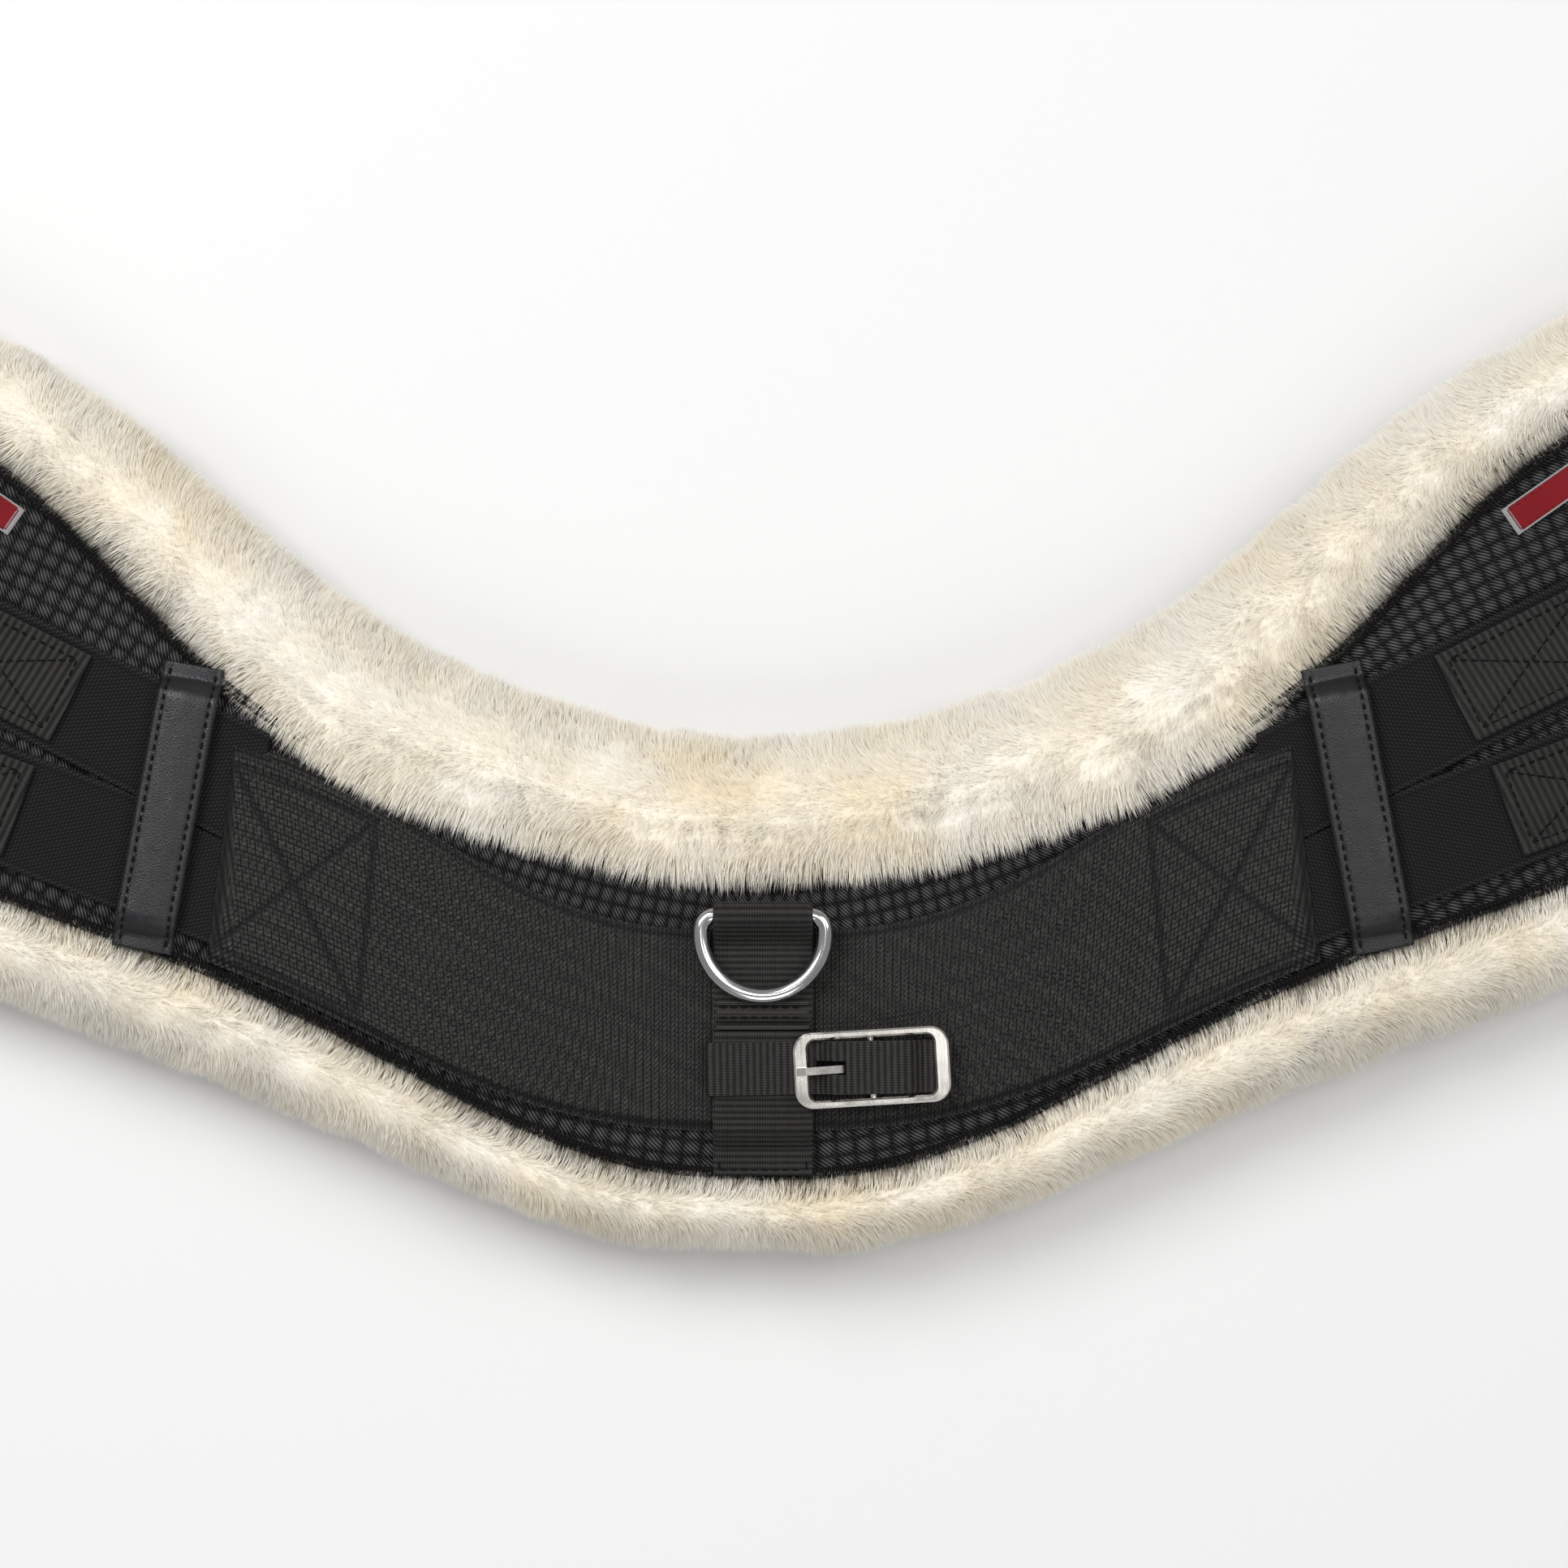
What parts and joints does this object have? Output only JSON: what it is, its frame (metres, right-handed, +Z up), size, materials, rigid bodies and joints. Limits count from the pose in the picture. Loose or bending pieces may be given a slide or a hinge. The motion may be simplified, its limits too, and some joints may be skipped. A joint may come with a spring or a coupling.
{
  "type": "saddle girth",
  "caption": "Short curved saddle girth with a thick lambskin lining, elastic straps with roller buckles, a centre D-ring and a small side strap.",
  "frame": {"origin": "on the flat underside of the wool, on the line of the centre strip and D-ring, 61 mm in from the front edge", "axes": "+X along the girth towards the buckles on one side, +Y towards the concave edge, +Z up out of the outer face that carries the straps"},
  "size_m": [0.7444, 0.2745, 0.0461],
  "materials": {
    "lambskin": "dense cream wool pile",
    "hide": "suede, tanned sheepskin",
    "velour": "fuzzy black loop velour",
    "foam": "closed-cell foam",
    "shell_cloth": "charcoal basket weave",
    "binding": "black corded tape",
    "panel_webbing": "coarse black webbing with grey flecks",
    "strap_webbing": "ribbed black webbing",
    "elastic": "fine charcoal woven elastic",
    "leather": "smooth black leather",
    "label": "woven red tape, blank",
    "steel": "polished stainless steel",
    "nickel": "worn nickel plate"
  },
  "bodies": {
    "pad": {"lambskin_pile": "lambskin", "lambskin_hide": "hide", "velour_backing": "velour", "foam_core": "foam", "outer_shell": "shell_cloth", "edge_binding": "binding", "centre_panel": "panel_webbing", "centre_strip": "strap_webbing", "right_leather_keeper": "leather", "right_edge_label": "label", "right_upper_elastic": "elastic", "right_lower_elastic": "elastic", "left_leather_keeper": "leather", "left_edge_label": "label", "left_upper_elastic": "elastic", "left_lower_elastic": "elastic"},
    "d_ring": {"d_ring": "steel"},
    "small_strap": {"small_strap": "strap_webbing", "small_buckle_frame": "nickel"},
    "small_tongue": {"small_buckle_tongue": "nickel"},
    "right_upper_strap": {"right_upper_buckle_strap": "strap_webbing"},
    "right_upper_frame": {"right_upper_buckle_frame": "steel"},
    "right_upper_roller": {"right_upper_buckle_roller": "steel"},
    "right_upper_tongue": {"right_upper_buckle_tongue": "steel"},
    "right_lower_strap": {"right_lower_buckle_strap": "strap_webbing"},
    "right_lower_frame": {"right_lower_buckle_frame": "steel"},
    "right_lower_roller": {"right_lower_buckle_roller": "steel"},
    "right_lower_tongue": {"right_lower_buckle_tongue": "steel"},
    "left_upper_strap": {"left_upper_buckle_strap": "strap_webbing"},
    "left_upper_frame": {"left_upper_buckle_frame": "steel"},
    "left_upper_roller": {"left_upper_buckle_roller": "steel"},
    "left_upper_tongue": {"left_upper_buckle_tongue": "steel"},
    "left_lower_strap": {"left_lower_buckle_strap": "strap_webbing"},
    "left_lower_frame": {"left_lower_buckle_frame": "steel"},
    "left_lower_roller": {"left_lower_buckle_roller": "steel"},
    "left_lower_tongue": {"left_lower_buckle_tongue": "steel"}
  },
  "joints": [
    {"name": "d_ring_swing", "type": "hinge", "parent": "pad", "child": "d_ring", "pos_m": [0, 0.0287, 0.04235], "axis": [-1, 0, 0], "range_deg": [0, 150]},
    {"name": "small_strap_slide", "type": "slide", "parent": "pad", "child": "small_strap", "axis": [0, -1, 0], "range_m": [0, 0.008]},
    {"name": "small_tongue_swing", "type": "hinge", "parent": "small_strap", "child": "small_tongue", "pos_m": [0.0284, -0.0109, 0.0397], "axis": [-0.0593, 0.9982, 0], "range_deg": [0, 5]},
    {"name": "right_upper_stretch", "type": "slide", "parent": "pad", "child": "right_upper_strap", "axis": [0.8949, 0.4462, 0], "range_m": [0, 0.015], "stiffness_N_per_m": 1500, "deforming": ["right_upper_elastic"]},
    {"name": "right_upper_frame_swing", "type": "hinge", "parent": "right_upper_strap", "child": "right_upper_frame", "pos_m": [0.27127, 0.13018, 0.03835], "axis": [0.4462, -0.8949, 0], "range_deg": [0, 80]},
    {"name": "right_upper_tongue_swing", "type": "hinge", "parent": "right_upper_frame", "child": "right_upper_tongue", "pos_m": [0.27127, 0.13018, 0.03835], "axis": [0.4462, -0.8949, 0], "range_deg": [0, 80]},
    {"name": "right_upper_roller_spin", "type": "hinge", "parent": "right_upper_frame", "child": "right_upper_roller", "pos_m": [0.29812, 0.14356, 0.03835], "axis": [0.4462, -0.8949, 0], "continuous": true},
    {"name": "right_lower_stretch", "type": "slide", "parent": "pad", "child": "right_lower_strap", "axis": [0.9367, 0.3502, 0], "range_m": [0, 0.015], "stiffness_N_per_m": 1500, "deforming": ["right_lower_elastic"]},
    {"name": "right_lower_frame_swing", "type": "hinge", "parent": "right_lower_strap", "child": "right_lower_frame", "pos_m": [0.28458, 0.08938, 0.03835], "axis": [0.3502, -0.9367, 0], "range_deg": [0, 80]},
    {"name": "right_lower_tongue_swing", "type": "hinge", "parent": "right_lower_frame", "child": "right_lower_tongue", "pos_m": [0.28458, 0.08938, 0.03835], "axis": [0.3502, -0.9367, 0], "range_deg": [0, 80]},
    {"name": "right_lower_roller_spin", "type": "hinge", "parent": "right_lower_frame", "child": "right_lower_roller", "pos_m": [0.31268, 0.09988, 0.03835], "axis": [0.3502, -0.9367, 0], "continuous": true},
    {"name": "left_upper_stretch", "type": "slide", "parent": "pad", "child": "left_upper_strap", "axis": [-0.8949, 0.4462, 0], "range_m": [0, 0.015], "stiffness_N_per_m": 1500, "deforming": ["left_upper_elastic"]},
    {"name": "left_upper_frame_swing", "type": "hinge", "parent": "left_upper_strap", "child": "left_upper_frame", "pos_m": [-0.27127, 0.13018, 0.03835], "axis": [0.4462, 0.8949, 0], "range_deg": [0, 80]},
    {"name": "left_upper_tongue_swing", "type": "hinge", "parent": "left_upper_frame", "child": "left_upper_tongue", "pos_m": [-0.27127, 0.13018, 0.03835], "axis": [0.4462, 0.8949, 0], "range_deg": [0, 80]},
    {"name": "left_upper_roller_spin", "type": "hinge", "parent": "left_upper_frame", "child": "left_upper_roller", "pos_m": [-0.29812, 0.14356, 0.03835], "axis": [0.4462, 0.8949, 0], "continuous": true},
    {"name": "left_lower_stretch", "type": "slide", "parent": "pad", "child": "left_lower_strap", "axis": [-0.9367, 0.3502, 0], "range_m": [0, 0.015], "stiffness_N_per_m": 1500, "deforming": ["left_lower_elastic"]},
    {"name": "left_lower_frame_swing", "type": "hinge", "parent": "left_lower_strap", "child": "left_lower_frame", "pos_m": [-0.28458, 0.08938, 0.03835], "axis": [0.3502, 0.9367, 0], "range_deg": [0, 80]},
    {"name": "left_lower_tongue_swing", "type": "hinge", "parent": "left_lower_frame", "child": "left_lower_tongue", "pos_m": [-0.28458, 0.08938, 0.03835], "axis": [0.3502, 0.9367, 0], "range_deg": [0, 80]},
    {"name": "left_lower_roller_spin", "type": "hinge", "parent": "left_lower_frame", "child": "left_lower_roller", "pos_m": [-0.31268, 0.09988, 0.03835], "axis": [0.3502, 0.9367, 0], "continuous": true}
  ]
}
